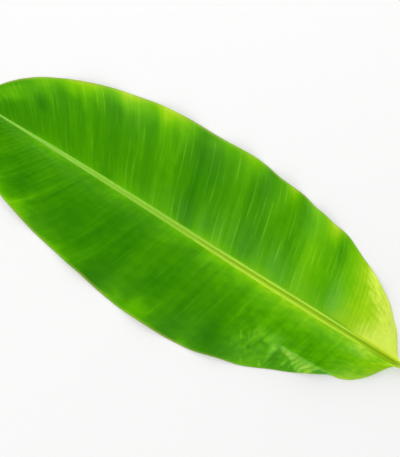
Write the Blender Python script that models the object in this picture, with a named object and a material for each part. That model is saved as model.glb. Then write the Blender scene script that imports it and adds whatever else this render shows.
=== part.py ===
# A banana leaf as cut from its plant, lying on a flat surface with its glossy side up.
# Metres. +Y runs along the midrib from the stalk to the tip and +Z is up. The origin is on the
# surface, under the midrib and half-way along the whole leaf.

import math

import bmesh
import bpy
import numpy as np

# Lengths along the leaf. "Along" is counted from the base of the blade, so the stalk's is negative.
BLADE_LENGTH = 0.750
STALK_LENGTH = 0.060
BASE_Y = STALK_LENGTH - (BLADE_LENGTH + STALK_LENGTH) / 2

# Widths across it. The right half is on +X. A margin's fullness is the share that it reaches of an
# ellipse as long as the blade, at shares of the blade's length. The wing is the blade's width beside
# the midrib at its very ends.
HALF_WIDTH = 0.152
WING = 0.0015
RIGHT_FULLNESS = ((0, 0.15), (0.03, 0.70), (0.056, 0.79), (0.1, 0.905), (0.2, 0.965), (0.4, 0.98),
                  (0.5, 1.0), (0.7, 1.01), (0.8, 1.0), (0.87, 0.99), (0.92, 0.95), (0.97, 0.81), (1, 0.6))
LEFT_FULLNESS = ((0, 0.1), (0.03, 0.655), (0.056, 0.78), (0.08, 0.78), (0.104, 0.735), (0.13, 0.768),
                 (0.2, 0.856), (0.3, 0.962), (0.4, 1.007), (0.6, 0.965), (0.7, 0.935), (0.8, 0.945),
                 (0.87, 0.945), (0.92, 0.92), (0.97, 0.79), (1, 0.6))

# The midrib's full width, its height above the surface and the depth of the groove on its top
MIDRIB_WIDTH = ((-0.06, 0.009), (-0.01, 0.0085), (0.02, 0.011), (0.08, 0.0135), (0.3, 0.0132),
                (0.5, 0.009), (0.57, 0.0068), (0.69, 0.003), (0.75, 0.0016))
MIDRIB_HEIGHT = ((-0.06, 0.0105), (0, 0.0125), (0.1, 0.0125), (0.3, 0.0095), (0.5, 0.006),
                 (0.65, 0.0032), (0.75, 0.0014))
GROOVE_DEPTH = ((-0.06, 0.0035), (0, 0.003), (0.3, 0.0018), (0.55, 0.0007), (0.75, 0))
STALK_END_LIFT = 0.003
STALK_LIFT_FROM = 0.050

# Where the midrib's columns of points lie, as shares of its half width. Its underside is flat up to
# the first one, and the groove's rim is at the second.
MIDRIB_COLUMNS = (0.45, 0.78, 1.0)

# The lateral veins leave the midrib and lean to the tip. The leans are shares of the blade's length.
BASE_LEAN = 0.50
TIP_LEAN = 0.99
TIP_LEAN_POWER = 3.2
EARLY_TURN = 0.10
LATE_TURN = 0.25

# The blade's thickness. Beside the midrib it is thicker, but no more than a share of the midrib.
BLADE_THICKNESS = 0.0008
SHOULDER_THICKNESS = 0.0018
SHOULDER_REACH = 0.16
SHOULDER_OF_MIDRIB = 0.6

# From the midrib's shoulder the blade falls to the surface at the margin. On its way it bows up, and
# fine pleats follow the veins.
FALL_POWER = 1.2
BOW_HEIGHT = ((0, 0.006), (0.05, 0.011), (0.2, 0.009), (0.4, 0.0065), (0.65, 0.0035), (0.75, 0.001))
BOW_POWER = 0.8
PLEAT_HEIGHT = 0.00035

# Waves that run out along the veins to the margin: where their vein leaves the midrib, half their
# length along it, and their height at the margin
RIGHT_WAVES = ((0.058, 0.032, 0.004), (0.172, 0.040, 0.007), (0.246, 0.036, 0.008), (0.322, 0.042, 0.006),
               (0.418, 0.050, 0.006), (0.535, 0.060, 0.005))
LEFT_WAVES = ((0.075, 0.035, 0.005), (0.205, 0.045, 0.005), (0.315, 0.048, 0.006), (0.430, 0.055, 0.005),
              (0.545, 0.055, 0.006))
WAVE_POWER = 2.2
MARGIN_PULL = 0.35

# Creases where the blade is rumpled: two ends as (along, across), height and half width. They fade
# out at the margin.
CREASES = (((0.072, -0.069), (0.168, -0.068), 0.0045, 0.011),
           ((0.168, -0.070), (0.174, -0.106), 0.0030, 0.009),
           ((0.234, -0.074), (0.215, -0.102), 0.0020, 0.008))
CREASE_FADE_POWER = 8

# The grid of points. The rows follow the veins, and they are closer at both ends of the blade.
BLADE_ROWS = 106
STALK_ROWS = 6
BLADE_COLUMNS = 7
END_CROWDING = 0.28

LEAF_GREEN = (0.10, 0.36, 0.012, 1.0)
LEAF_ROUGHNESS = 0.38


def curve_through(stations, at):
    """Smooth value at one place of a list of (place, value) stations."""
    places, values = np.array(stations, dtype=float).T
    slopes = np.gradient(values, places)
    i = int(np.clip(np.searchsorted(places, at) - 1, 0, len(places) - 2))
    span = places[i + 1] - places[i]
    q = min(max((at - places[i]) / span, 0.0), 1.0)
    start = (1 + 2 * q) * (1 - q) ** 2 * values[i] + q * (1 - q) ** 2 * span * slopes[i]
    end = q * q * (3 - 2 * q) * values[i + 1] + q * q * (q - 1) * span * slopes[i + 1]
    return start + end


def midrib_half_width(along):
    return curve_through(MIDRIB_WIDTH, along) / 2


def vein_lean(along):
    """How far towards the tip the vein that leaves the midrib here reaches the margin."""
    share = along / BLADE_LENGTH
    near_base = BASE_LEAN * share * (1 - share) ** 4
    near_tip = TIP_LEAN * share ** TIP_LEAN_POWER * (1 - share)
    return BLADE_LENGTH * (near_base + near_tip)


def vein_turn(out):
    """Share of the lean that a vein has made at a share of its way out to the margin."""
    steady = 1 - EARLY_TURN - LATE_TURN
    return EARLY_TURN * (1 - (1 - out) ** 4) + steady * out + LATE_TURN * out ** 4


def wave_height(along, side):
    """Height at the margin of the waves on one half, for the vein that leaves the midrib here."""
    height = 0.0
    for centre, half_length, top in RIGHT_WAVES if side > 0 else LEFT_WAVES:
        reach = abs(along - centre) / half_length
        if reach < 1:
            height += top * math.cos(reach * math.pi / 2) ** 2
    return height


def margin_half_width(along, side, wave):
    """Distance from the midrib's middle to the margin, at a place along the leaf."""
    share = min(along / BLADE_LENGTH, 1.0)
    fullness = curve_through(RIGHT_FULLNESS if side > 0 else LEFT_FULLNESS, share)
    ellipse = HALF_WIDTH * 2 * math.sqrt(share * (1 - share)) * fullness
    pulled = max(ellipse - MARGIN_PULL * wave, 0.0)
    return math.hypot(pulled, midrib_half_width(along) + WING)


def crease_height(along, across):
    height = 0.0
    for start, end, top, half_width in CREASES:
        start, end, point = np.array(start), np.array(end), np.array((along, across))
        run = end - start
        share = np.clip((point - start) @ run / (run @ run), 0, 1)
        gap = np.linalg.norm(point - start - share * run) / half_width
        height += top * math.exp(-gap * gap)
    return height


def stalk_lift(along):
    """How far the stalk and the blade's base rise off the surface."""
    share = max(STALK_LIFT_FROM - along, 0) / (STALK_LIFT_FROM + STALK_LENGTH)
    return STALK_END_LIFT * share ** 2


def shoulder_thickness(along):
    """Thickness of the blade where it meets the midrib."""
    return min(SHOULDER_THICKNESS, SHOULDER_OF_MIDRIB * curve_through(MIDRIB_HEIGHT, along))


def midrib_point(along, share):
    """Across, underside and upper side of the midrib or stalk at a share of its half width."""
    flat, rim_share, _ = MIDRIB_COLUMNS
    rim = curve_through(MIDRIB_HEIGHT, along)
    lift = stalk_lift(along)
    round_share = max(abs(share) - flat, 0) / (1 - flat)
    underside = (rim - shoulder_thickness(along)) * (1 - math.sqrt(1 - round_share ** 2))
    groove = curve_through(GROOVE_DEPTH, along) * max(1 - (share / rim_share) ** 2, 0)
    return share * midrib_half_width(along), underside + lift, rim - groove + lift


def blade_point(root, out, side, pleat):
    """Along, across, underside and upper side of one half of the blade, out on a vein from its root."""
    lean = vein_lean(root)
    wave = wave_height(root, side)
    along = root + lean * vein_turn(out)
    start = midrib_half_width(root)
    across = side * (start + (margin_half_width(root + lean, side, wave) - start) * out)

    shoulder = shoulder_thickness(root)
    thickness = max(BLADE_THICKNESS, shoulder + (BLADE_THICKNESS - shoulder) * out / SHOULDER_REACH)
    shoulder_height = curve_through(MIDRIB_HEIGHT, root) - shoulder + stalk_lift(root)
    fall = shoulder_height * (1 - out) ** FALL_POWER
    bow = curve_through(BOW_HEIGHT, root) * 4 * out ** BOW_POWER * (1 - out)
    pleats = PLEAT_HEIGHT * pleat * math.sqrt(math.sin(out * math.pi))
    crumple = crease_height(along, across) * (1 - out ** CREASE_FADE_POWER)
    underside = fall + bow + wave * out ** WAVE_POWER + pleats + crumple
    return along, across, underside, underside + thickness


def row_root(row):
    """Where a row of points leaves the midrib, along the leaf. Row 0 is the stalk's cut end."""
    if row < STALK_ROWS:
        return -STALK_LENGTH * (1 - row / STALK_ROWS)
    share = (row - STALK_ROWS) / BLADE_ROWS
    return BLADE_LENGTH * (share - END_CROWDING * math.sin(2 * math.pi * share) / (2 * math.pi))


def leaf_point(row, column):
    """Position of a grid point on the underside and on the upper side."""
    root = row_root(row)
    side = 1 if column > 0 else -1
    step = abs(column)
    if step <= len(MIDRIB_COLUMNS):
        share = side * MIDRIB_COLUMNS[step - 1] if step else 0.0
        across, low, high = midrib_point(root, share)
        along = root
    else:
        out = (step - len(MIDRIB_COLUMNS)) / BLADE_COLUMNS
        pleat = 1 if row % 2 else -1
        along, across, low, high = blade_point(root, out, side, pleat)
    return (across, BASE_Y + along, low), (across, BASE_Y + along, high)


def leaf_mesh():
    """One closed body: a grid over the whole leaf, with its underside and its upper side alike."""
    side_columns = len(MIDRIB_COLUMNS) + BLADE_COLUMNS
    rows = STALK_ROWS + BLADE_ROWS
    bm = bmesh.new()
    bmesh.ops.create_grid(bm, x_segments=2 * side_columns, y_segments=rows, size=1)

    def grid_place(vertex):
        row = round((vertex.co.y + 1) / 2 * rows)
        column = round((vertex.co.x + 1) * side_columns) - side_columns
        return row, column

    beside_stalk = []
    for vertex in bm.verts:
        row, column = grid_place(vertex)
        if row < STALK_ROWS and abs(column) > len(MIDRIB_COLUMNS):
            beside_stalk.append(vertex)
    bmesh.ops.delete(bm, geom=beside_stalk, context="VERTS")

    bmesh.ops.triangulate(bm, faces=bm.faces[:], quad_method="FIXED")
    layer = bmesh.ops.extrude_face_region(bm, geom=bm.faces[:])
    upper_side = {item for item in layer["geom"] if isinstance(item, bmesh.types.BMVert)}
    for vertex in bm.verts:
        low, high = leaf_point(*grid_place(vertex))
        vertex.co = high if vertex in upper_side else low

    bmesh.ops.recalc_face_normals(bm, faces=bm.faces[:])
    mesh = bpy.data.meshes.new("banana_leaf")
    bm.to_mesh(mesh)
    bm.free()
    mesh.shade_smooth()
    mesh.set_sharp_from_angle(angle=math.radians(50))
    return mesh


def leaf_material():
    material = bpy.data.materials.new("leaf_green")
    material.use_nodes = True
    shader = material.node_tree.nodes["Principled BSDF"]
    shader.inputs["Base Color"].default_value = LEAF_GREEN
    shader.inputs["Roughness"].default_value = LEAF_ROUGHNESS
    shader.inputs["Metallic"].default_value = 0.0
    return material


def main():
    for item in list(bpy.data.objects):
        bpy.data.objects.remove(item, do_unlink=True)
    collection = bpy.data.collections.new("Banana leaf")
    bpy.context.scene.collection.children.link(collection)
    leaf = bpy.data.objects.new("banana_leaf", leaf_mesh())
    leaf.data.materials.append(leaf_material())
    collection.objects.link(leaf)


main()
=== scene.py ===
import math

import bmesh
import bpy
import numpy as np
from mathutils import Matrix, Vector


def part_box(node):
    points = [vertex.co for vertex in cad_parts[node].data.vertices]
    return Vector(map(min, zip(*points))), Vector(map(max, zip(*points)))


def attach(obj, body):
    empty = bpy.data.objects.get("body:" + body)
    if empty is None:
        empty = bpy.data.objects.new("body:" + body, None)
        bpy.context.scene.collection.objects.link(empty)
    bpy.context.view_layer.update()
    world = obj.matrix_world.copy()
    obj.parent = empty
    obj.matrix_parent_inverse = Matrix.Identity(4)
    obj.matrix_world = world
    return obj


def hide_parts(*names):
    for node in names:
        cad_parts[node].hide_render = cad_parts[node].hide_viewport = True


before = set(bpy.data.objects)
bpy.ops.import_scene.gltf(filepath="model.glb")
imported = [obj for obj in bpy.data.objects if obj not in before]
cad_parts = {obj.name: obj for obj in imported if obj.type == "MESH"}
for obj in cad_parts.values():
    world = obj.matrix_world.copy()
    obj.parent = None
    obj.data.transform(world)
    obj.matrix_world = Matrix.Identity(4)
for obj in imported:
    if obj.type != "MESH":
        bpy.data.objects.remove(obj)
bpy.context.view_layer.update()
print("frame loaded")

# Whole leaf, measured on the frame. "Along" runs from the blade's base to its tip.
leafLow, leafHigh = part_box("banana_leaf")
leaf = {
    "stalkLength": 0.06,
    "veinCount": 92,          # lateral veins on each half
    "endCrowding": 0.28,      # how much closer the veins are at both ends
    "veinJitter": 0.22,       # unevenness of their spacing, in veins
    "sharpAngle": 55,         # edges sharper than this many degrees stay sharp
    "seed": 11,
    # added to the seed for each set of draws, on the right half and on the left
    "drawOffsets": {"spacing": (1, -1), "ridges": (5, -5), "swells": (9, -9), "fringes": (33, 7)},
}
bladeLength = leafHigh.y - leafLow.y - leaf["stalkLength"]
baseY = leafLow.y + leaf["stalkLength"]


def curveThrough(stations, at):
    # smooth values between (place, value) stations
    places, values = np.array(stations, dtype=float).T
    slopes = np.gradient(values, places)
    i = np.clip(np.searchsorted(places, at) - 1, 0, len(places) - 2)
    span = places[i + 1] - places[i]
    q = np.clip((at - places[i]) / span, 0, 1)
    start = (1 + 2 * q) * (1 - q) ** 2 * values[i] + q * (1 - q) ** 2 * span * slopes[i]
    end = q * q * (3 - 2 * q) * values[i + 1] + q * q * (q - 1) * span * slopes[i + 1]
    return start + end


def softStep(value, low, high):
    q = np.clip((value - low) / (high - low), 0, 1)
    return q * q * (3 - 2 * q)


def drawsOf(name, side, low, high, count):
    # even random numbers of one half
    offset = leaf["drawOffsets"][name][0 if side > 0 else 1]
    return np.random.default_rng(leaf["seed"] + offset).uniform(low, high, count)


def arch(share):
    # 0 at both ends and 1 in the middle
    return np.sin(np.clip(share, 0, 1) * math.pi)


def meshFrom(bm, name):
    mesh = bpy.data.meshes.new(name)
    bm.to_mesh(mesh)
    bm.free()
    return mesh


def addObject(name, data):
    item = bpy.data.objects.new(name, data)
    bpy.context.scene.collection.objects.link(item)
    return item


def slabMesh(name, acrossSegments, alongSegments):
    # a flat slab, -1 to 1 across and along and 0 to 1 up, which is then bent into its place
    bm = bmesh.new()
    bmesh.ops.create_grid(bm, x_segments=acrossSegments, y_segments=alongSegments, size=1)
    raised = bmesh.ops.extrude_face_region(bm, geom=bm.faces[:])
    upper = [item for item in raised["geom"] if isinstance(item, bmesh.types.BMVert)]
    bmesh.ops.translate(bm, verts=upper, vec=(0, 0, 1))
    bmesh.ops.recalc_face_normals(bm, faces=bm.faces[:])
    # material 0 is for the upper side, 1 for the underside, 2 for the edge and 3 for the stalk's end
    for face in bm.faces:
        centre = face.calc_center_median()
        face.material_index = 0 if centre.z > 0.99 else 1 if centre.z < 0.01 else 2
        if centre.y < -0.9999:
            face.material_index = 3
    return meshFrom(bm, name)


def bendSlab(mesh, place, materials):
    # place(x, y, z) gives each point's position, its spot on the leaf map, and its tone, sheen and streaks
    slab = np.empty(len(mesh.vertices) * 3)
    mesh.vertices.foreach_get("co", slab)
    slab = slab.reshape(-1, 3)
    positions, leafMap, look = place(slab[:, 0], slab[:, 1], slab[:, 2])
    mesh.vertices.foreach_set("co", np.stack(positions, axis=1).ravel())
    corners = np.empty(len(mesh.loops), dtype=np.int32)
    mesh.loops.foreach_get("vertex_index", corners)
    layer = mesh.uv_layers.new(name="leafMap")
    layer.data.foreach_set("uv", np.stack(leafMap, axis=1)[corners].ravel())
    leafLook = mesh.attributes.new("leafLook", "FLOAT_VECTOR", "POINT")
    leafLook.data.foreach_set("vector", np.stack(look, axis=1).ravel())
    for material in materials:
        mesh.materials.append(material)
    mesh.shade_smooth()
    mesh.set_sharp_from_angle(angle=math.radians(leaf["sharpAngle"]))
    mesh.update()
    piece = addObject(mesh.name, mesh)
    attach(piece, "root")
    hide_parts("banana_leaf")


# Midrib and stalk: stations are (along, value) in metres
midrib = {
    "width": ((-0.06, 0.009), (-0.01, 0.0085), (0.02, 0.011), (0.08, 0.0135), (0.27, 0.0131),
              (0.375, 0.0114), (0.45, 0.0104), (0.525, 0.0092), (0.6, 0.0069), (0.66, 0.0044),
              (0.71, 0.0026), (0.75, 0.0016)),
    "height": ((-0.06, 0.0105), (0, 0.0125), (0.1, 0.0125), (0.3, 0.0095), (0.5, 0.006),
               (0.65, 0.0032), (0.75, 0.0014)),
    "drift": ((-0.06, 0), (0.2, 0), (0.3, -0.0001), (0.375, 0.0005), (0.45, 0.0011), (0.6, 0.0015),
              (0.68, 0.0011), (0.75, 0.0006)),      # how far it wanders to the right
    "groove": ((-0.06, 0.0035), (0, 0.003), (0.3, 0.0018), (0.55, 0.0007), (0.75, 0)),
    "flatShare": 0.45,        # how much of its underside is flat
    "rimShare": 0.78,         # where the groove's rims are
    "rimDrop": 0.03,          # how far the shoulder is below the rim, as a share of the height
    "endLift": 0.003,         # the stalk's end, off the surface
    "liftFrom": 0.05,
    "shoulder": 0.0018,       # thickness where the blade joins it
    "shoulderOfHeight": 0.6,
    "acrossSegments": 30,
    "alongSegments": 520,
}


def midribHalfWidth(along):
    return curveThrough(midrib["width"], along) / 2


def stalkLift(along):
    reach = midrib["liftFrom"] + leaf["stalkLength"]
    return midrib["endLift"] * (np.maximum(midrib["liftFrom"] - along, 0) / reach) ** 2


def shoulderThickness(along):
    return np.minimum(midrib["shoulder"], midrib["shoulderOfHeight"] * curveThrough(midrib["height"], along))


def placeMidrib(x, y, z):
    along = (y + 1) / 2 * (bladeLength + leaf["stalkLength"]) - leaf["stalkLength"]
    share = np.sin(x * math.pi / 2)      # rows are closer together at both sides
    height = curveThrough(midrib["height"], along)
    flat = midrib["flatShare"]
    roundShare = np.clip((np.abs(share) - flat) / (1 - flat), 0, 1)
    underside = (height - shoulderThickness(along)) * (1 - np.sqrt(1 - roundShare ** 2))
    groove = curveThrough(midrib["groove"], along) * np.maximum(1 - (share / midrib["rimShare"]) ** 2, 0)
    drop = height * midrib["rimDrop"] * softStep(np.abs(share), midrib["rimShare"], 1)
    top = height - groove - drop
    across = share * midribHalfWidth(along) + curveThrough(midrib["drift"], along)
    place = (across, baseY + along, np.where(z > 0.5, top, underside) + stalkLift(along))
    plain = np.zeros_like(along)
    return place, (along / bladeLength, (share + 1) / 2), (plain, plain, plain)


# Blade: both halves are bent from slabs whose rows follow the lateral veins
blade = {
    "halfWidth": (leafHigh.x - leafLow.x) / 2,
    "wing": 0.0015,           # its width at the very ends, beside the midrib
    "rightFullness": ((0, 0.15), (0.03, 0.7), (0.056, 0.79), (0.1, 0.905), (0.2, 0.965), (0.4, 0.98),
                      (0.5, 1.0), (0.7, 1.01), (0.8, 1.0), (0.87, 0.99), (0.92, 0.95), (0.97, 0.81),
                      (1, 0.6)),
    "leftFullness": ((0, 0.1), (0.03, 0.655), (0.056, 0.78), (0.08, 0.78), (0.104, 0.735),
                     (0.13, 0.768), (0.2, 0.856), (0.3, 0.962), (0.4, 1.007), (0.6, 0.965),
                     (0.7, 0.935), (0.8, 0.945), (0.87, 0.945), (0.92, 0.92), (0.97, 0.79), (1, 0.6)),
    # small unevenness of the two margins, in metres on (along, value) stations
    "rightTrim": ((0, 0), (0.033, -0.001), (0.055, 0.0018), (0.081, -0.0003), (0.122, -0.0019),
                  (0.165, 0.0017), (0.189, 0), (0.213, 0.0003), (0.228, -0.0012), (0.249, 0),
                  (0.273, 0.0014), (0.309, 0), (0.355, 0.0009), (0.375, -0.001), (0.393, -0.0034),
                  (0.411, -0.0047), (0.435, -0.0037), (0.46, -0.0013), (0.489, -0.0002),
                  (0.54, -0.0021), (0.597, -0.0004), (0.665, -0.0023), (0.7, -0.0003), (0.75, 0)),
    "leftTrim": ((0, 0), (0.033, -0.0008), (0.06, -0.0002), (0.09, 0.0012), (0.13, 0.0012),
                 (0.156, 0.0004), (0.2, 0.0019), (0.228, 0.0004), (0.275, 0.0011), (0.3, -0.0001),
                 (0.375, 0.0007), (0.42, 0.0004), (0.48, 0), (0.503, 0.0008), (0.53, 0),
                 (0.585, -0.0007), (0.63, -0.0001), (0.75, 0)),
    "baseLean": 0.5,          # how far the veins lean to the tip, as shares of the blade's length
    "baseLeanPower": 4,
    "tipLean": 0.99,
    "tipLeanPower": 3.2,
    "earlyTurn": 0.1,         # how much of that lean comes beside the midrib and near the margin
    "lateTurn": 0.25,
    "turnPower": 4,
    "thickness": 0.0008,
    "rimStep": 0.0001,        # how far its upper side starts below the midrib's edge
    "shoulderReach": 0.1,
    "tuck": 0.0004,           # how far its inner edge goes into the midrib
    "fallPower": 1.2,
    "bow": ((0, 0.006), (0.05, 0.011), (0.2, 0.009), (0.4, 0.0065), (0.65, 0.0035), (0.75, 0.001)),
    "bowPower": 0.8,
    "bowEase": 0.035,         # how gently the bow starts beside the midrib
    # waves are (along, half length, height), at the vein's root
    "rightWaves": ((0.058, 0.032, 0.004), (0.172, 0.04, 0.007), (0.246, 0.036, 0.008),
                   (0.322, 0.042, 0.006), (0.418, 0.05, 0.006), (0.535, 0.06, 0.005)),
    "leftWaves": ((0.075, 0.035, 0.005), (0.205, 0.045, 0.005), (0.315, 0.048, 0.006),
                  (0.43, 0.055, 0.005), (0.545, 0.055, 0.006)),
    "wavePower": 2.2,
    "marginPull": 0.35,       # how far a wave draws the margin in, as a share of its height
    # creases are (start, end, height, half width), each end (along, across)
    "creases": (((0.072, -0.069), (0.168, -0.068), 0.0045, 0.011),
                ((0.168, -0.07), (0.174, -0.106), 0.003, 0.009),
                ((0.234, -0.074), (0.215, -0.102), 0.002, 0.008)),
    "creaseFadePower": 8,
    "pleatHeight": 0.00016,   # ridge of one lateral vein
    "pleatStrengths": (0.4, 1.3),
    "swellHeight": 0.00045,   # slower unevenness that runs along the veins
    "swellVeins": 3.1,
    "acrossSegments": 64,
    "alongSegments": 690,
}


# How light each half is, from 0, dark green, to 1, pale yellow: a profile along the leaf, with painted light
# added beside the midrib and a lighter band added near the margin. Places are shares of the blade's length,
# and of the way out to the margin. Spots are (place, way out, length, width, change).
rightLook = {
    "profile": ((0, 1.02), (0.055, 1.0), (0.1, 0.84), (0.13, 0.74), (0.155, 0.69), (0.19, 0.49),
                (0.24, 0.6), (0.3, 0.43), (0.33, 0.45), (0.38, 0.28), (0.42, 0.41), (0.45, 0.37),
                (0.485, 0.25), (0.51, 0.18), (0.535, 0.38), (0.565, 0.43), (0.585, 0.44), (0.61, 0.35),
                (0.635, 0.4), (0.66, 0.41), (0.685, 0.29), (0.72, 0.38), (0.78, 0.34), (0.815, 0.39),
                (0.85, 0.27), (0.9, 0.29), (1, 0.3)),
    # painted light beside the midrib, by the share of the blade's length
    "midribPaintedLight": ((0, 0), (0.05, 0), (0.08, 0.1), (0.105, 0.11), (0.14, 0.08), (0.18, 0.14),
                   (0.22, 0.12), (0.28, 0.12), (0.33, 0.22), (0.36, 0.26), (0.42, 0.2), (0.46, 0.32),
                   (0.52, 0.22), (0.57, 0.1), (0.63, 0.2), (0.68, 0.12), (0.8, 0.14), (0.86, 0.21),
                   (0.9, 0.18), (1, 0.12)),
    "midribReach": 0.12,
    "marginGlow": ((0, 0), (0.055, 0), (0.085, 0.07), (0.13, -0.02), (0.17, 0), (0.205, 0.45),
                   (0.235, 0.09), (0.26, 0.12), (0.285, 0.04), (0.31, 0.42), (0.335, 0.07),
                   (0.36, 0.05), (0.385, 0.46), (0.41, 0.42), (0.44, 0.33), (0.465, 0.36), (0.49, 0.27),
                   (0.53, 0.36), (0.57, 0.5), (0.61, 0.4), (0.645, 0.52), (0.69, 0.48), (0.75, 0.48),
                   (0.79, 0.34), (0.82, 0.31), (0.86, 0.15), (0.9, 0.15), (1, 0.15)),
    "toneSpots": ((0.112, 0.95, 0.035, 0.35, 0.12), (0.88, 0.76, 0.05, 0.14, 0.24),
                  (0.18, 0.78, 0.014, 0.2, -0.13), (0.675, 0.8, 0.02, 0.14, -0.14),
                  (0.275, 0.85, 0.02, 0.12, -0.08), (0.83, 0.65, 0.012, 0.12, -0.22),
                  (0.44, 0.9, 0.02, 0.1, -0.08), (0.66, 0.88, 0.014, 0.12, 0.07),
                  (0.483, 0.2, 0.013, 0.2, 0.16), (0.59, 0.7, 0.012, 0.4, 0.06),
                  (0.51, 0.3, 0.01, 0.25, -0.05), (0.21, 0.85, 0.02, 0.08, 0.06),
                  (0.533, 0.14, 0.01, 0.12, -0.1), (0.88, 0.9, 0.04, 0.06, 0.1),
                  (0.76, 0.88, 0.012, 0.08, 0.09), (0.085, 0.4, 0.02, 0.2, -0.03),
                  (0.5, 0.88, 0.02, 0.06, 0.07), (0.583, 0.88, 0.01, 0.06, 0.06)),
    "lightAndShadeLines": (),
    "sheenSpots": ((0.036, 0.5, 0.016, 0.4, 0.03), (0.06, 0.22, 0.018, 0.14, 0.02),
                   (0.165, 0.22, 0.018, 0.2, 0.055), (0.3, 0.12, 0.05, 0.2, 0.012),
                   (0.36, 0.2, 0.1, 0.25, 0.009), (0.5, 0.1, 0.1, 0.16, 0.012)),
    "streaks": 0.95,          # strength of the fine streaks, and where it differs
    "streakSpots": ((0.075, 0.14, 0.03, 0.13, 5.0), (0.35, 0.3, 0.12, 0.3, 0.4),
                    (0.02, 0.8, 0.1, 0.5, -0.9)),
    "swell": 1.0,             # strength of the slow unevenness along the veins
}
leftLook = {
    "profile": ((0, 0.86), (0.02, 0.77), (0.035, 0.74), (0.06, 0.7), (0.1, 0.53), (0.14, 0.45),
                (0.24, 0.44), (0.3, 0.38), (0.34, 0.27), (0.37, 0.23), (0.41, 0.21), (0.435, 0.23),
                (0.465, 0.15), (0.5, 0.25), (0.535, 0.25), (0.565, 0.13), (0.59, 0.17), (0.612, 0.13),
                (0.635, 0.19), (0.665, 0.17), (0.7, 0.18), (0.74, 0.26), (0.86, 0.28), (1, 0.3)),
    # painted light beside the midrib, by the share of the blade's length
    "midribPaintedLight": ((0, 0.2), (0.035, 0.05), (0.06, 0.16), (0.085, 0.32), (0.13, 0.32), (0.175, 0.34),
                   (0.22, 0.36), (0.3, 0.42), (0.35, 0.5), (0.45, 0.44), (0.52, 0.36), (0.58, 0.34),
                   (0.635, 0.42), (0.69, 0.34), (0.75, 0.2), (0.815, 0.34), (0.88, 0.22), (1, 0.18)),
    "midribReach": 0.2,
    "marginGlow": ((0, 0.1), (0.08, 0.15), (0.115, 0.08), (0.14, 0.03), (0.19, 0.04), (0.215, 0.18),
                   (0.24, 0.02), (0.28, -0.2), (0.31, 0.1), (0.335, 0.32), (0.365, 0.04), (0.39, 0.08),
                   (0.45, 0.44), (0.5, 0.34), (0.535, -0.12), (0.57, 0.12), (0.605, 0.44), (0.64, 0.36),
                   (0.68, 0.36), (0.73, 0.48), (0.765, 0.38), (0.85, 0.4), (1, 0.3)),
    "toneSpots": ((0.32, 0.78, 0.022, 0.2, -0.24), (0.135, 0.86, 0.01, 0.12, -0.06),
                  (0.54, 0.65, 0.012, 0.3, -0.06), (0.24, 0.74, 0.045, 0.26, 0.05),
                  (0.13, 0.8, 0.01, 0.07, 0.12), (0.295, 0.85, 0.022, 0.14, -0.12),
                  (0.455, 0.82, 0.02, 0.15, 0.1), (0.42, 0.63, 0.015, 0.14, 0.1),
                  (0.765, 0.78, 0.013, 0.22, -0.16), (0.185, 0.93, 0.03, 0.14, 0.06),
                  (0.2, 0.42, 0.03, 0.14, -0.05), (0.465, 0.82, 0.012, 0.12, 0.06),
                  (0.78, 0.68, 0.02, 0.14, -0.08), (0.585, 0.7, 0.012, 0.2, 0.1),
                  (0.735, 0.6, 0.014, 0.16, 0.09), (0.168, 0.65, 0.016, 0.1, 0.11),
                  (0.583, 0.42, 0.008, 0.14, 0.09), (0.535, 0.48, 0.007, 0.12, 0.09),
                  (0.588, 0.82, 0.014, 0.1, 0.11), (0.735, 0.8, 0.01, 0.14, 0.1)),
    # lines of painted highlights and painted shade on the folds and rumples are (start, end, half width,
    # tone, sheen), each end (along, across) in metres
    "lightAndShadeLines": (((0.1759, -0.0637), (0.1707, -0.0692), 0.007, 0.07, 0.006),
                  ((0.181, -0.0668), (0.1734, -0.0762), 0.0085, 0.12, 0.02),
                  ((0.1739, -0.0783), (0.1717, -0.1017), 0.0038, 0.1, 0.016),
                  ((0.1635, -0.073), (0.1708, -0.1067), 0.0018, -0.14, 0),
                  ((0.1569, -0.0801), (0.1604, -0.0999), 0.0055, -0.09, 0),
                  ((0.206, -0.0665), (0.1899, -0.0724), 0.006, 0.1, 0.008),
                  ((0.1914, -0.0786), (0.1852, -0.08), 0.003, -0.1, 0),
                  ((0.2271, -0.0823), (0.2217, -0.0895), 0.0017, 0.2, 0.03),
                  ((0.2183, -0.0865), (0.2126, -0.0918), 0.0014, 0.1, 0.015),
                  ((0.2093, -0.0995), (0.2047, -0.1046), 0.0014, 0.12, 0.012),
                  ((0.2075, -0.1151), (0.2028, -0.121), 0.0016, 0.1, 0.015),
                  ((0.2159, -0.0762), (0.2102, -0.0868), 0.0018, 0.1, 0.015),
                  ((0.2099, -0.0716), (0.2064, -0.0791), 0.0016, 0.1, 0.012),
                  ((0.2025, -0.0891), (0.2006, -0.095), 0.0018, 0.1, 0.01),
                  ((0.18, -0.1068), (0.1756, -0.113), 0.0018, 0.12, 0.02),
                  ((0.2329, -0.0956), (0.2293, -0.1057), 0.0015, 0.06, 0.012),
                  ((0.1567, -0.0747), (0.1578, -0.0842), 0.0015, 0.14, 0.01),
                  ((0.1462, -0.0831), (0.1483, -0.0924), 0.0017, 0.2, 0.015),
                  ((0.1379, -0.085), (0.137, -0.0907), 0.0015, 0.15, 0.01),
                  ((0.1593, -0.0692), (0.1496, -0.072), 0.0026, 0.1, 0.012),
                  ((0.1043, -0.0765), (0.086, -0.0691), 0.0024, -0.24, 0)),
    "sheenSpots": ((0.08, 0.14, 0.02, 0.12, 0.05), (0.06, 0.85, 0.014, 0.12, 0.025),
                   (0.24, 0.72, 0.03, 0.2, 0.006)),
    "streaks": 0.42,
    "streakSpots": ((0.2, 0.6, 0.09, 0.4, -0.5), (0.05, 0.6, 0.08, 0.5, -0.5)),
    "swell": 0.65,
}
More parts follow.
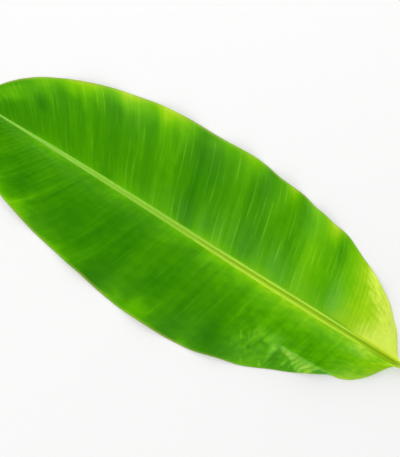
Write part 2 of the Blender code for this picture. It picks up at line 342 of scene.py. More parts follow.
bands = {
    "marginFrom": 0.62,       # where the margin's lighter band starts, as a share of the way out
    "marginPower": 2.1,
    "marginFringe": 0.13,     # how much that start differs from vein to vein
    "midribFringe": 0.15,     # how much the reach of the painted light beside the midrib differs
    "fringesPerVein": 1.6,
    "leastStreaks": 0.2,
}


def spotsAt(spots, share, out):
    total = np.zeros_like(share)
    for place, wayOut, length, width, change in spots:
        total += change * np.exp(-((share - place) / length) ** 2 - ((out - wayOut) / width) ** 2)
    return total


def nearLine(along, across, start, end, halfWidth):
    # 1 on a line between two places, and less beside it
    runAlong, runAcross = end[0] - start[0], end[1] - start[1]
    share = (along - start[0]) * runAlong + (across - start[1]) * runAcross
    share = np.clip(share / math.hypot(runAlong, runAcross) ** 2, 0, 1)
    gap = np.hypot(along - start[0] - share * runAlong, across - start[1] - share * runAcross)
    return np.exp(-(gap / halfWidth) ** 2)


def lookAt(look, share, out, fringe, along, across):
    # tone, sheen and strength of the streaks. The fringe, -1 to 1, shifts both bands at each vein.
    tone = curveThrough(look["profile"], share) + spotsAt(look["toneSpots"], share, out)
    # painted light beside the midrib, whose reach shifts at each vein
    reach = look["midribReach"] * (1 + bands["midribFringe"] * fringe)
    tone += curveThrough(look["midribPaintedLight"], share) * np.exp(-out / reach)
    bandFrom = bands["marginFrom"] - bands["marginFringe"] * fringe * np.sqrt(arch(out))
    band = np.clip((out - bandFrom) / (1 - bandFrom), 0, 1) ** bands["marginPower"]
    tone += curveThrough(look["marginGlow"], share) * band
    sheen = spotsAt(look["sheenSpots"], share, out)
    # painted highlights and painted shade along lines
    for start, end, halfWidth, lineLightAndShade, sheenChange in look["lightAndShadeLines"]:
        near = nearLine(along, across, start, end, halfWidth)
        tone += lineLightAndShade * near
        sheen += sheenChange * near
    stronger = 1 + spotsAt(look["streakSpots"], share, out)
    return tone, sheen, look["streaks"] * np.maximum(stronger, bands["leastStreaks"])


# The turned-up strip at the left half's base, with ridges across it, and the rumples beside it, with painted
# light and shade on both
foldStrip = {
    "along": (0.076, 0.1645),     # where it ends and starts
    # its inner side, as (along, across)
    "inner": ((0.076, -0.0644), (0.1, -0.066), (0.16, -0.0679)),
    "width": ((0.076, 0.001), (0.092, 0.0018), (0.099, 0.003), (0.103, 0.011), (0.11, 0.0195),
              (0.122, 0.0235), (0.131, 0.0215), (0.1365, 0.018), (0.1425, 0.0125), (0.152, 0.009),
              (0.165, 0.0055)),
    "endSoftness": 0.06,          # how far its ends fade, as a share of its length
    "startSoftness": 0.03,
    "innerSoftness": 0.001,
    "outerSoftness": 0.0015,
    "ridgeSpacing": 0.0088,
    "ridgeSlope": 0.23,           # how far the ridges lean to the tip, and their curve at the inner side
    "ridgeCurve": 0.006,
    "ridgeReach": 0.007,
    "alongWobble": (0.16, 190, 0.8),     # how the ridges waver: share of the spacing, waves, start
    "acrossWobble": (0.1, 420, 1.3),
    "lift": 0.00015,              # height of the strip, and depth of the furrows between its ridges
    "furrowDepth": 0.0006,
    "furrowPower": 1.7,
    "furrowFade": 0.004,          # the plain end has no furrows, and they start over this distance
    "outward": (0.001, 0.012),    # distances from the inner side over which its painted light grows and it gets ridged
    "innerFurrow": 0.15,          # share of the furrows' depth at the inner side, and at the outer side
    "outerFurrow": 0.8,
    # painted light on the strip, at its inner side and at its outer side
    "innerPaintedLight": 0.17,
    "outerPaintedLight": 0.265,
    "furrowPaintedShade": 0.27,           # painted shade: how much darker the furrows are
    "sheen": 0.055,
    "rumpleHeight": 0.00022,
    "rumpleSpot": (0.205, -0.085, 0.026, 0.02),      # (along, across, length, width)
    # painted light and shade that follow the rumples' relief
    "rumpleLightAndShade": 0.05,
    "rumples": 9,                 # small waves, whose direction, size and start are drawn between these
    "rumpleTurns": (-0.5, 0.7),
    "rumpleSizes": (0.006, 0.018),
    "rumpleStarts": (0, 6),
    "rumpleDrawOffset": 3,
}


def foldStripAt(along, across):
    # relief, painted light and shade, and sheen of the strip and the rumples
    strip = foldStrip
    low, high = strip["along"]
    share = (along - low) / (high - low)
    beyond = np.interp(along, *np.array(strip["inner"]).T) - across
    width = curveThrough(strip["width"], along)
    ends = softStep(share, -strip["endSoftness"], strip["endSoftness"])
    ends *= softStep(share, 1 + strip["startSoftness"], 1 - strip["startSoftness"])
    mask = ends * softStep(beyond, -strip["innerSoftness"], strip["innerSoftness"])
    mask *= softStep(beyond, width + strip["outerSoftness"], width - strip["outerSoftness"])
    curve = strip["ridgeCurve"] * (1 - np.exp(-np.maximum(beyond, 0) / strip["ridgeReach"]))
    crossing = (along - strip["ridgeSlope"] * beyond - curve) / strip["ridgeSpacing"]
    for place, (wobble, waves, start) in ((along, strip["alongWobble"]), (across, strip["acrossWobble"])):
        crossing += wobble * np.sin(place * waves + start)
    furrow = (1 - np.abs(np.sin(math.pi * crossing))) ** strip["furrowPower"]
    furrow *= softStep(along, strip["inner"][1][0], strip["inner"][1][0] + strip["furrowFade"])
    outward = softStep(beyond, *strip["outward"])
    furrow *= strip["innerFurrow"] + (strip["outerFurrow"] - strip["innerFurrow"]) * outward
    relief = mask * (strip["lift"] - strip["furrowDepth"] * furrow)
    # painted light on the strip, growing outward, and painted shade in its furrows
    tone = strip["innerPaintedLight"] + (strip["outerPaintedLight"] - strip["innerPaintedLight"]) * outward
    tone = mask * (tone - strip["furrowPaintedShade"] * furrow)

    spotAlong, spotAcross, spotLength, spotWidth = strip["rumpleSpot"]
    near = np.exp(-((along - spotAlong) / spotLength) ** 2 - ((across - spotAcross) / spotWidth) ** 2)
    rumple = np.zeros_like(along)
    rumpleDraws = np.random.default_rng(leaf["seed"] + strip["rumpleDrawOffset"])
    for _ in range(strip["rumples"]):
        turn = rumpleDraws.uniform(*strip["rumpleTurns"])
        size = rumpleDraws.uniform(*strip["rumpleSizes"])
        start = rumpleDraws.uniform(*strip["rumpleStarts"])
        wave = 2 * math.pi * (along * math.cos(turn) + across * math.sin(turn)) / size
        rumple += size / strip["rumpleSizes"][1] * np.sin(wave + start)
    # the rumples' relief, with painted light and shade that follow it
    relief += strip["rumpleHeight"] * near * rumple
    tone += strip["rumpleLightAndShade"] * near * rumple
    return relief, tone, mask * strip["sheen"] * (1 - furrow)


def veinLean(root):
    share = root / bladeLength
    nearBase = blade["baseLean"] * share * (1 - share) ** blade["baseLeanPower"]
    nearTip = blade["tipLean"] * share ** blade["tipLeanPower"] * (1 - share)
    return bladeLength * (nearBase + nearTip)


def veinTurn(out):
    # the share of a vein's lean that it has at each share of the way out
    power = blade["turnPower"]
    steady = 1 - blade["earlyTurn"] - blade["lateTurn"]
    return blade["earlyTurn"] * (1 - (1 - out) ** power) + steady * out + blade["lateTurn"] * out ** power


def halfOf(side, name):
    return blade[("right" if side > 0 else "left") + name]


def waveHeight(root, side):
    height = np.zeros_like(root)
    for centre, halfLength, top in halfOf(side, "Waves"):
        reach = np.clip(np.abs(root - centre) / halfLength, 0, 1)
        height += top * np.cos(reach * math.pi / 2) ** 2
    return height


def marginHalfWidth(along, side, wave):
    share = np.clip(along / bladeLength, 0, 1)
    fullness = curveThrough(halfOf(side, "Fullness"), share)
    ellipse = blade["halfWidth"] * 2 * np.sqrt(share * (1 - share)) * fullness
    trim = curveThrough(halfOf(side, "Trim"), along)
    pulled = np.maximum(ellipse + trim - blade["marginPull"] * wave, 0)
    return np.hypot(pulled, midribHalfWidth(along) + blade["wing"])


def creaseHeight(along, across):
    height = np.zeros_like(along)
    for start, end, top, halfWidth in blade["creases"]:
        height = np.maximum(height, top * nearLine(along, across, start, end, halfWidth))
    return height


def veinNumber(rowShare, side):
    # the veins are a little unevenly spaced, and differently on each half
    evenly = rowShare * leaf["veinCount"]
    shifts = drawsOf("spacing", side, -1, 1, leaf["veinCount"] + 1)
    shifts[[0, -1]] = 0
    return evenly + leaf["veinJitter"] * np.interp(evenly, np.arange(leaf["veinCount"] + 1), shifts)


def placeBlade(x, y, z, side):
    rowShare = (y + 1) / 2
    crowding = leaf["endCrowding"] * np.sin(2 * math.pi * rowShare) / (2 * math.pi)
    root = bladeLength * (rowShare - crowding)
    out = (1 + side * x) / 2
    vein = veinNumber(rowShare, side)
    lean = veinLean(root)
    wave = waveHeight(root, side)
    along = root + lean * veinTurn(out)
    start = midribHalfWidth(root) - blade["tuck"]
    across = side * (start + (marginHalfWidth(root + lean, side, wave) - start) * out)
    across += curveThrough(midrib["drift"], root) * (1 - out)

    # heights: the fall from the midrib, the bow, the creases, the pleats and the swells
    shoulder = shoulderThickness(root)
    ribHeight = curveThrough(midrib["height"], root)
    fall = (ribHeight - shoulder + stalkLift(root)) * (1 - out) ** blade["fallPower"]
    eased = out - blade["bowEase"] * (1 - np.exp(-out / blade["bowEase"]))
    bow = curveThrough(blade["bow"], root) * 4 * eased ** blade["bowPower"] * (1 - out)
    crumple = creaseHeight(along, across) * (1 - out ** blade["creaseFadePower"])
    fade = np.sqrt(arch(out))
    strengths = drawsOf("ridges", side, *blade["pleatStrengths"], leaf["veinCount"] + 2)
    strength = np.interp(vein, np.arange(len(strengths)), strengths)
    pleats = blade["pleatHeight"] * strength * -np.cos(2 * math.pi * vein) * fade
    look = rightLook if side > 0 else leftLook
    swells = drawsOf("swells", side, -1, 1, leaf["veinCount"])
    swell = curveThrough(list(enumerate(swells)), vein / blade["swellVeins"])
    swell *= blade["swellHeight"] * look["swell"] * fade

    fringes = drawsOf("fringes", side, -1, 1, 2 * leaf["veinCount"])
    fringe = np.interp(vein * bands["fringesPerVein"], np.arange(len(fringes)), fringes)
    tone, sheen, streaks = lookAt(look, root / bladeLength, out, fringe, along, across)
    # the left half's fold strip and rumples add their relief, their painted light and shade, and sheen
    if side < 0:
        relief, foldLightAndShade, foldSheen = foldStripAt(along, across)
        crumple += relief
        tone += foldLightAndShade
        sheen += foldSheen
    underside = fall + bow + wave * out ** blade["wavePower"] + crumple + pleats + swell
    underside = np.maximum(underside, 0)

    inner = shoulder - ribHeight * midrib["rimDrop"] - blade["rimStep"]
    taper = np.clip(1 - out / blade["shoulderReach"], 0, 1)
    thickness = blade["thickness"] + (inner - blade["thickness"]) * taper
    height = underside + np.where(z > 0.5, thickness, 0)
    return (across, baseY + along, height), (vein, out), (tone, sheen, streaks)


print("shape formulas ready")


# Helpers for materials
def seen(red, green, blue):
    # a colour as the screen shows it, 0 to 255, made linear
    linear = []
    for value in (red, green, blue):
        share = value / 255
        linear.append(share / 12.92 if share <= 0.04045 else ((share + 0.055) / 1.055) ** 2.4)
    return (*linear, 1.0)


def addNode(tree, kind, inputs=None, **settings):
    node = tree.nodes.new(kind)
    for name, value in settings.items():
        setattr(node, name, value)
    for name, value in (inputs or {}).items():
        if isinstance(value, bpy.types.NodeSocket):
            tree.links.new(value, node.inputs[name])
        else:
            node.inputs[name].default_value = value
    return node


def useGroup(tree, group, inputs):
    return addNode(tree, "ShaderNodeGroup", inputs, node_tree=group).outputs


def mathOf(tree, operation, first, second=0.0, third=0.0, clamp=False):
    inputs = {0: first, 1: second, 2: third}
    return addNode(tree, "ShaderNodeMath", inputs, operation=operation, use_clamp=clamp).outputs[0]


def around(tree, value, strength):
    # a value from 0 to 1, moved to lie evenly around 0
    return mathOf(tree, "MULTIPLY", mathOf(tree, "SUBTRACT", value, 0.5), strength)


def partsOf(tree, vector):
    return addNode(tree, "ShaderNodeSeparateXYZ", {0: vector}).outputs


def noiseOf(tree, place, scale, detail):
    inputs = {"Vector": place, "Scale": scale, "Detail": detail}
    return addNode(tree, "ShaderNodeTexNoise", inputs).outputs["Fac"]


def ranged(tree, value, low, high, newLow=0.0, newHigh=1.0):
    # a soft step from low to high
    inputs = {"Value": value, "From Min": low, "From Max": high, "To Min": newLow, "To Max": newHigh}
    node = addNode(tree, "ShaderNodeMapRange", inputs, interpolation_type="SMOOTHSTEP", clamp=True)
    return node.outputs[0]


def mixed(tree, share, first, second):
    inputs = {0: share, 6: first, 7: second}
    return addNode(tree, "ShaderNodeMix", inputs, data_type="RGBA").outputs[2]


def rampOf(tree, value, stops):
    # colours along a ramp, from (place, colour) stops
    node = addNode(tree, "ShaderNodeValToRGB", {"Fac": value})
    elements = node.color_ramp.elements
    while len(elements) < len(stops):
        elements.new(0.5)
    for element, (place, colour) in zip(elements, stops):
        element.position = place
        element.color = colour
    return node.outputs[0]


def newGroup(name, inputs, outputs):
    group = bpy.data.node_groups.new(name, "ShaderNodeTree")
    for label, kind in inputs.items():
        group.interface.new_socket(name=label, in_out="INPUT", socket_type=kind)
    for label, kind in outputs.items():
        group.interface.new_socket(name=label, in_out="OUTPUT", socket_type=kind)
    entry = group.nodes.new("NodeGroupInput")
    leave = group.nodes.new("NodeGroupOutput")
    return group, entry.outputs, leave.inputs


# Marks along the veins. Noises are (changes per vein, changes on the way out, offset, detail).
veinMarks = {
    "noises": {
        "Stripe": (0.85, 1.3, 2.3, 2.0),
        "Grain": (6.5, 2.5, 7.1, 2.0),
        "Mottle": (0.55, 13.0, 4.7, 2.0),
    },
    "lighterNoise": (7.3, 2.6, 0.0, 0.0),
    "lighterRange": (0.42, 0.66),
    "lineHeight": 0.6,
    "grainHeight": 0.5,
}
noiseRange = (0.3, 0.7)       # most of a noise's values lie in it
fibreDetail = 3.0


def makeVeinGroup():
    # lateral veins on the leaf map, whose X counts veins and whose Y goes out to the margin
    inputs = {"Map": "NodeSocketVector", "Width": "NodeSocketFloat"}
    outputs = dict.fromkeys(("Line", "Light", "Stripe", "Grain", "Mottle", "Height"), "NodeSocketFloat")
    group, given, wanted = newGroup("lateralVeins", inputs, outputs)
    parts = partsOf(group, given["Map"])
    place = mathOf(group, "FRACT", parts[0])
    fromVein = mathOf(group, "ABSOLUTE", mathOf(group, "SUBTRACT", place, 0.5))
    line = ranged(group, fromVein, mathOf(group, "SUBTRACT", 0.5, given["Width"]), 0.5)

    def stretchedNoise(number, perVein, outward, offset, detail):
        across = mathOf(group, "MULTIPLY", number, perVein)
        outwards = mathOf(group, "MULTIPLY", parts[1], outward)
        spot = addNode(group, "ShaderNodeCombineXYZ", {0: across, 1: outwards, 2: offset}).outputs[0]
        return noiseOf(group, spot, 1.0, detail)

    noises = {name: stretchedNoise(parts[0], *values) for name, values in veinMarks["noises"].items()}
    for name, noise in noises.items():
        group.links.new(ranged(group, noise, *noiseRange), wanted[name])
    # some veins are lighter than others, and each fades in and out on its way to the margin
    nearest = mathOf(group, "FLOOR", mathOf(group, "ADD", parts[0], 0.5))
    lighter = stretchedNoise(nearest, *veinMarks["lighterNoise"])
    lighter = ranged(group, lighter, *veinMarks["lighterRange"])
    group.links.new(mathOf(group, "MULTIPLY", line, lighter), wanted["Light"])
    group.links.new(line, wanted["Line"])
    height = mathOf(group, "MULTIPLY", noises["Grain"], veinMarks["grainHeight"])
    height = mathOf(group, "MULTIPLY_ADD", line, veinMarks["lineHeight"], height)
    group.links.new(height, wanted["Height"])
    return group


def makePatchGroup():
    # soft uneven patches on the object's own coordinates
    inputs = {"Scale": "NodeSocketFloat", "Detail": "NodeSocketFloat"}
    group, given, wanted = newGroup("softPatches", inputs, {"Value": "NodeSocketFloat"})
    place = addNode(group, "ShaderNodeTexCoord").outputs["Object"]
    noise = noiseOf(group, place, given["Scale"], given["Detail"])
    group.links.new(ranged(group, noise, *noiseRange), wanted["Value"])
    return group


def makeFibreGroup():
    # long fibres of the midrib, on the leaf map
    inputs = {"Map": "NodeSocketVector", "Scale": "NodeSocketVector"}
    group, given, wanted = newGroup("midribFibres", inputs, {"Value": "NodeSocketFloat"})
    inputs = {"Vector": given["Map"], "Scale": given["Scale"]}
    stretched = addNode(group, "ShaderNodeMapping", inputs).outputs[0]
    group.links.new(noiseOf(group, stretched, 1.0, fibreDetail), wanted["Value"])
    return group


veinGroup = makeVeinGroup()
patchGroup = makePatchGroup()
fibreGroup = makeFibreGroup()


def patchesOf(tree, scale, detail):
    return useGroup(tree, patchGroup, {"Scale": scale, "Detail": detail})[0]


def newMaterial(name, roughness, specular):
    material = bpy.data.materials.new(name)
    material.use_nodes = True
    tree = material.node_tree
    shader = tree.nodes["Principled BSDF"]
    shader.inputs["Roughness"].default_value = roughness
    shader.inputs["Specular IOR Level"].default_value = specular
    return material, tree, shader


def leafMapOf(tree):
    return addNode(tree, "ShaderNodeUVMap", uv_map="leafMap").outputs[0]


def addBump(tree, shader, height, distance, strength=1.0):
    inputs = {"Height": height, "Distance": distance, "Strength": strength}
    bump = addNode(tree, "ShaderNodeBump", inputs)
    tree.links.new(bump.outputs[0], shader.inputs["Normal"])


# Upper side, coloured by its tone
upperSide = {
    "palette": ((0.0, seen(41, 117, 0)), (0.2, seen(53, 133, 0)), (0.4, seen(69, 150, 0)),
                (0.55, seen(89, 173, 0)), (0.7, seen(117, 194, 4)), (0.85, seen(162, 214, 22)),
                (1.0, seen(222, 247, 84))),
    "sheen": seen(205, 228, 205),
    "rim": seen(166, 182, 74),
    "rimStrength": 0.6,
    "rimFrom": (0.965, 0.995),
    "rimPatches": (0.2, 0.8, 0.6, 1.0),
    "veinWidth": 0.16,
    "veinLight": 0.17,        # tone added on the lighter veins
    "veinPale": 0.01,         # paleness of those veins
    "stripes": 0.09,          # tone that the stripes differ by
    "stripesAtEnds": 0.55,    # share of it at the midrib and the margin, and what half-way out adds
    "stripesMidWay": 0.9,
    "midWay": ((0.15, 0.45), (0.85, 0.55)),
    "grain": 0.035,
    "fineFade": (0.3, 0.95, 1.0, 0.15),      # the lighter parts have weaker marks
    "mottle": 0.09,           # softer marks, where the streaks are weak
    "mottleFade": (1.0, 0.4, 0.3, 1.0),
    "clouds": 0.04,
    "cloudPatches": (16.0, 2.0),
    "sheenStripes": (0.1, 0.9, 0.6, 1.4),
    "roughness": 0.3,
    "grainRoughness": 0.1,
    "specular": 0.09,
    "bump": (0.00012, 0.7),
}


def makeUpperSide():
    look = upperSide
    material, tree, shader = newMaterial("bladeUpperSide", look["roughness"], look["specular"])
    leafMap = leafMapOf(tree)
    wayOut = partsOf(tree, leafMap)[1]
    leafLook = addNode(tree, "ShaderNodeAttribute", attribute_name="leafLook").outputs["Vector"]
    tone, sheen, streaks = partsOf(tree, leafLook)
    veins = useGroup(tree, veinGroup, {"Map": leafMap, "Width": look["veinWidth"]})
    clouds = patchesOf(tree, *look["cloudPatches"])

    # marks along the veins: lighter veins and grain by the strength of the streaks, then stripes
    lines = mathOf(tree, "MULTIPLY", veins["Light"], look["veinLight"])
    fine = mathOf(tree, "ADD", around(tree, veins["Grain"], look["grain"]), lines)
    fromMidrib, fromMargin = [ranged(tree, wayOut, *places) for places in look["midWay"]]
    midWay = mathOf(tree, "MULTIPLY", fromMidrib, fromMargin)
    strength = mathOf(tree, "MULTIPLY_ADD", midWay, look["stripesMidWay"], look["stripesAtEnds"])
    stripes = mathOf(tree, "MULTIPLY", around(tree, veins["Stripe"], look["stripes"]), strength)
    fine = mathOf(tree, "MULTIPLY_ADD", fine, streaks, stripes)
    fine = mathOf(tree, "MULTIPLY", fine, ranged(tree, tone, *look["fineFade"]))

    # soft marks, the palette and the pale sheen
    cloudy = around(tree, clouds, look["clouds"])
    mottle = around(tree, veins["Mottle"], look["mottle"])
    cloudy = mathOf(tree, "MULTIPLY_ADD", mottle, ranged(tree, streaks, *look["mottleFade"]), cloudy)
    tone = mathOf(tree, "ADD", tone, mathOf(tree, "ADD", fine, cloudy), clamp=True)
    colour = rampOf(tree, tone, look["palette"])
    sheen = mathOf(tree, "MULTIPLY", sheen, ranged(tree, veins["Stripe"], *look["sheenStripes"]))
    pale = mathOf(tree, "MULTIPLY", veins["Light"], streaks)
    sheen = mathOf(tree, "MULTIPLY_ADD", pale, look["veinPale"], sheen, clamp=True)
    colour = mixed(tree, sheen, colour, look["sheen"])

    # the dry rim, in places
    dry = mathOf(tree, "MULTIPLY", ranged(tree, wayOut, *look["rimFrom"]), look["rimStrength"])
    dry = mathOf(tree, "MULTIPLY", dry, ranged(tree, clouds, *look["rimPatches"]))
    colour = mixed(tree, dry, colour, look["rim"])
    tree.links.new(colour, shader.inputs["Base Color"])
    smooth = look["roughness"] - look["grainRoughness"] / 2
    rough = mathOf(tree, "MULTIPLY_ADD", veins["Grain"], look["grainRoughness"], smooth)
    tree.links.new(rough, shader.inputs["Roughness"])
    addBump(tree, shader, veins["Height"], *look["bump"])
    return material


# Underside: paler and matt, with raised veins
underside = {
    "colour": seen(118, 166, 74),
    "veinColour": seen(158, 196, 104),
    "shade": seen(96, 148, 60),
    "bloom": seen(150, 186, 132),
    "veinWidth": 0.2,
    "veinStrength": 0.55,
    "shadeStrength": 0.6,
    "bloomStrength": 0.35,
    "bloomPatches": (10.0, 3.0),
    "besideMidrib": (0.05, 0.0),
    "roughness": 0.62,
    "specular": 0.3,
    "bump": 0.0003,
    "edge": (seen(118, 128, 40), seen(150, 160, 60)),
    "edgePatches": (60.0, 2.0),
    "edgeRoughness": 0.6,
}


def makeUnderside():
    look = underside
    material, tree, shader = newMaterial("bladeUnderside", look["roughness"], look["specular"])
    leafMap = leafMapOf(tree)
    veins = useGroup(tree, veinGroup, {"Map": leafMap, "Width": look["veinWidth"]})
    patches = patchesOf(tree, *look["bloomPatches"])
    colour = look["colour"]
    for mask, strength, name in ((veins["Stripe"], look["shadeStrength"], "shade"),
                                 (patches, look["bloomStrength"], "bloom"),
                                 (veins["Line"], look["veinStrength"], "veinColour")):
        colour = mixed(tree, mathOf(tree, "MULTIPLY", mask, strength), colour, look[name])
    besideMidrib = ranged(tree, partsOf(tree, leafMap)[1], *look["besideMidrib"])
    colour = mixed(tree, besideMidrib, colour, look["veinColour"])
    tree.links.new(colour, shader.inputs["Base Color"])
    addBump(tree, shader, veins["Height"], look["bump"])
    return material


def makeEdge():
    look = underside
    material, tree, shader = newMaterial("bladeEdge", look["edgeRoughness"], look["specular"])
    colour = mixed(tree, patchesOf(tree, *look["edgePatches"]), *look["edge"])
    tree.links.new(colour, shader.inputs["Base Color"])
    return material


# Midrib and stalk: ramps run across, from the left side, 0, to the right, 1
midribLook = {
    # the lighter rims and the darker groove between them are partly the midrib's own colours and partly
    # painted light and shade, and the base ramp's darker left side is painted shade
    "base": ((0.0, seen(134, 188, 8)), (0.22, seen(146, 192, 8)), (0.45, seen(140, 184, 0)),
             (0.6, seen(158, 196, 4)), (0.78, seen(206, 236, 30)), (1.0, seen(210, 238, 46))),
    "middle": ((0.0, seen(178, 228, 46)), (0.07, seen(186, 236, 56)), (0.2, seen(176, 222, 44)),
               (0.36, seen(154, 200, 18)), (0.5, seen(134, 182, 6)), (0.6, seen(156, 206, 26)),
               (0.73, seen(194, 248, 76)), (0.83, seen(156, 214, 40)), (0.92, seen(122, 188, 14)),
               (1.0, seen(112, 180, 8))),
    "tip": ((0.0, seen(110, 174, 30)), (0.2, seen(140, 200, 52)), (0.5, seen(136, 196, 44)),
            (0.8, seen(156, 220, 64)), (1.0, seen(114, 180, 34))),
    "tipTint": seen(136, 226, 116),
    "fibre": seen(120, 168, 20),
    "stalk": seen(206, 228, 90),
    "under": seen(176, 200, 112),
    "underShade": seen(150, 182, 84),
    "cut": seen(222, 228, 168),
    "cells": seen(168, 180, 96),
    # where one colour turns into the next, in shares of the blade's length
    "toMiddle": (0.035, 0.1),
    "toTip": (0.3, 0.62),
    "toTipTint": (0.6, 0.95, 0.0, 0.2),
    "toStalk": (0.012, -0.012),
    "rightLater": (0.6, 0.9, 0.0, 0.05),     # the right side turns later
    "roughness": 0.42,
    "specular": 0.14,
    "topFibres": (14.0, 34.0, 1.0),
    "topFibreRange": (0.45, 0.75, 0.0, 0.3),
    "topBump": (0.0002, 0.6),
    "underFibres": (10.0, 40.0, 1.0),
    "underFibreRange": (0.35, 0.7),
    "underPatches": (18.0, 2.0),
    "underPatchStrength": 0.4,
    "underRoughness": 0.5,
    "underSpecular": 0.3,
    "underBump": (0.0003, 0.8),
    "cellScale": 900.0,
    "cellWalls": (0.28, 0.1),
    "cutRoughness": 0.7,
    "cutBump": 0.0003,
}


def makeMidribTop():
    look = midribLook
    material, tree, shader = newMaterial("midribUpperSide", look["roughness"], look["specular"])
    leafMap = leafMapOf(tree)
    alongShare, acrossShare = partsOf(tree, leafMap)[:2]
    # the ramps carry painted light on the rims, painted shade in the groove and on the base's left side
    base, middle, tip = [rampOf(tree, acrossShare, look[name]) for name in ("base", "middle", "tip")]
    later = mathOf(tree, "SUBTRACT", alongShare, ranged(tree, acrossShare, *look["rightLater"]))
    colour = mixed(tree, ranged(tree, later, *look["toMiddle"]), base, middle)
    for places, nextColour in ((look["toTip"], tip), (look["toTipTint"], look["tipTint"]),
                               (look["toStalk"], look["stalk"])):
        colour = mixed(tree, ranged(tree, alongShare, *places), colour, nextColour)
    fibres = useGroup(tree, fibreGroup, {"Map": leafMap, "Scale": look["topFibres"]})[0]
    colour = mixed(tree, ranged(tree, fibres, *look["topFibreRange"]), colour, look["fibre"])
    tree.links.new(colour, shader.inputs["Base Color"])
    addBump(tree, shader, fibres, *look["topBump"])
    return material


def makeMidribUnder():
    look = midribLook
    material, tree, shader = newMaterial("midribUnderside", look["underRoughness"], look["underSpecular"])
    fibres = useGroup(tree, fibreGroup, {"Map": leafMapOf(tree), "Scale": look["underFibres"]})[0]
    colour = mixed(tree, ranged(tree, fibres, *look["underFibreRange"]), look["under"], look["underShade"])
    patches = mathOf(tree, "MULTIPLY", patchesOf(tree, *look["underPatches"]), look["underPatchStrength"])
    colour = mixed(tree, patches, colour, look["stalk"])
    tree.links.new(colour, shader.inputs["Base Color"])
    addBump(tree, shader, fibres, *look["underBump"])
    return material


def makeCutEnd():
    look = midribLook
    material, tree, shader = newMaterial("stalkCutEnd", look["cutRoughness"], look["underSpecular"])
    place = addNode(tree, "ShaderNodeTexCoord").outputs["Object"]
    inputs = {"Vector": place, "Scale": look["cellScale"]}
    cells = addNode(tree, "ShaderNodeTexVoronoi", inputs, feature="DISTANCE_TO_EDGE").outputs["Distance"]
    wall = ranged(tree, cells, *look["cellWalls"])
    tree.links.new(mixed(tree, wall, look["cells"], look["cut"]), shader.inputs["Base Color"])
    addBump(tree, shader, wall, look["cutBump"])
    return material


print("materials ready")

bladeUnderside = makeUnderside()
bladeEdge = makeEdge()
skins = (makeUpperSide(), bladeUnderside, bladeEdge, bladeEdge)
for side, name in ((1, "blade_right"), (-1, "blade_left")):
    half = slabMesh(name, blade["acrossSegments"], blade["alongSegments"])
    bendSlab(half, lambda x, y, z, side=side: placeBlade(x, y, z, side), skins)
    print(name, "made")

rib = slabMesh("midrib", midrib["acrossSegments"], midrib["alongSegments"])
midribUnderside = makeMidribUnder()
bendSlab(rib, placeMidrib, (makeMidribTop(), midribUnderside, midribUnderside, makeCutEnd()))
print("midrib made")


# Studio: pale floor, soft lights and a camera that looks straight down
studio = {
    "floorSize": 24.0,
    "floorGap": 0.0004,
    "floorColour": (0.965, 0.965, 0.96, 1.0),
    "floorRoughness": 0.9,
    "glowNear": 0.4,          # share of the floor's light that is its own, near the leaf
    "glowFrom": 0.9,          # between these distances from the leaf's middle it grows to 1
    "glowTo": 2.4,
    "glowColour": (0.97, 0.97, 0.965, 1.0),
    "skyLow": 0.55,           # brightness of the sky at the horizon and above
    "skyHigh": 0.02,
    "skyFade": (0.0, 0.5),
    # each light: way round from the picture's right, angle from straight up, distance, size,
    # power, and whether it shows in reflections
    "lights": {
        "key": (80, 54, 3.4, 4.4, 142.0, False),
        "fill": (250, 58, 3.4, 4.6, 101.0, False),
        "sideFill": (170, 60, 3.4, 3.0, 20.0, False),
        "sheen": (75, 24, 3.0, 0.7, 1.0, True),
    },
}


def makeFloor():
    bm = bmesh.new()
    bmesh.ops.create_grid(bm, x_segments=1, y_segments=1, size=studio["floorSize"] / 2)
    bmesh.ops.translate(bm, verts=bm.verts[:], vec=(0, 0, -studio["floorGap"]))
    mesh = meshFrom(bm, "floor")
    material, tree, shader = newMaterial("paleFloor", studio["floorRoughness"], 0.0)
    shader.inputs["Base Color"].default_value = studio["floorColour"]
    place = addNode(tree, "ShaderNodeTexCoord").outputs["Object"]
    away = addNode(tree, "ShaderNodeVectorMath", {0: place}, operation="LENGTH").outputs["Value"]
    glow = addNode(tree, "ShaderNodeEmission", {"Color": studio["glowColour"]}).outputs[0]
    share = ranged(tree, away, studio["glowFrom"], studio["glowTo"], studio["glowNear"], 1.0)
    inputs = {0: share, 1: shader.outputs[0], 2: glow}
    blend = addNode(tree, "ShaderNodeMixShader", inputs).outputs[0]
    tree.links.new(blend, tree.nodes["Material Output"].inputs["Surface"])
    mesh.materials.append(material)
    addObject("floor", mesh)


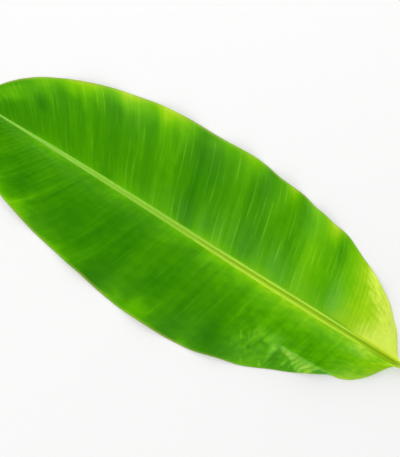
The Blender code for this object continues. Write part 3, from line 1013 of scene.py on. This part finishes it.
def makeSky():
    # a plain grey sky, darker overhead so that the leaf's gloss stays calm, and white to the camera
    world = bpy.data.worlds.new("studioSky")
    world.use_nodes = True
    tree = world.node_tree
    up = partsOf(tree, addNode(tree, "ShaderNodeTexCoord").outputs["Generated"])[2]
    level = ranged(tree, up, *studio["skyFade"], studio["skyLow"], studio["skyHigh"])
    behind = addNode(tree, "ShaderNodeLightPath").outputs["Is Camera Ray"]
    colour = mixed(tree, behind, level, studio["glowColour"])
    tree.links.new(colour, tree.nodes["Background"].inputs["Color"])
    bpy.context.scene.world = world


def addSoftLight(name, pictureRight, pictureUp):
    turn, tilt, distance, size, power, glossy = studio["lights"][name]
    turn, tilt = math.radians(turn), math.radians(tilt)
    sideways = math.cos(turn) * pictureRight + math.sin(turn) * pictureUp
    place = distance * (math.sin(tilt) * sideways + math.cos(tilt) * Vector((0, 0, 1)))
    lamp = bpy.data.lights.new(name, "AREA")
    lamp.shape = "DISK"
    lamp.size = size
    lamp.energy = power
    light = addObject(name, lamp)
    light.visible_glossy = glossy
    light.location = place
    light.rotation_euler = place.to_track_quat("Z", "Y").to_euler()


# The photograph's frame: where the blade's base and the midrib's direction are in it
view = {
    "wide": 400,              # pixels
    "tall": 457,
    "metresPerPixel": 0.0015,
    "basePixel": (398.0, 364.0),
    "midribRight": -0.8487,   # the way to the tip, in the picture
    "midribUp": 0.5288,
    "lens": 80.0,
    "sensor": 36.0,
    "surfaceHeight": 0.004,   # height of the leaf's surface that the scale holds for
}


def makeCamera():
    right = Vector((view["midribUp"], view["midribRight"], 0)).normalized()
    up = Vector((-view["midribRight"], view["midribUp"], 0)).normalized()
    scale = view["metresPerPixel"]
    toMiddle = (view["wide"] / 2 - view["basePixel"][0]) * scale * right
    toMiddle += (view["basePixel"][1] - view["tall"] / 2) * scale * up
    distance = view["lens"] / view["sensor"] * view["tall"] * scale
    spot = Vector((0, baseY, view["surfaceHeight"] + distance)) + toMiddle
    lens = bpy.data.cameras.new("camera")
    lens.lens = view["lens"]
    lens.sensor_fit = "VERTICAL"
    lens.sensor_height = view["sensor"]
    camera = addObject("camera", lens)
    camera.matrix_world = Matrix.Translation(spot) @ Matrix((right, up, (0, 0, 1))).transposed().to_4x4()
    bpy.context.scene.camera = camera
    return right, up


makeFloor()
makeSky()
pictureRight, pictureUp = makeCamera()
for lightName in studio["lights"]:
    addSoftLight(lightName, pictureRight, pictureUp)
bpy.context.scene.view_settings.view_transform = "Standard"
print("studio ready")
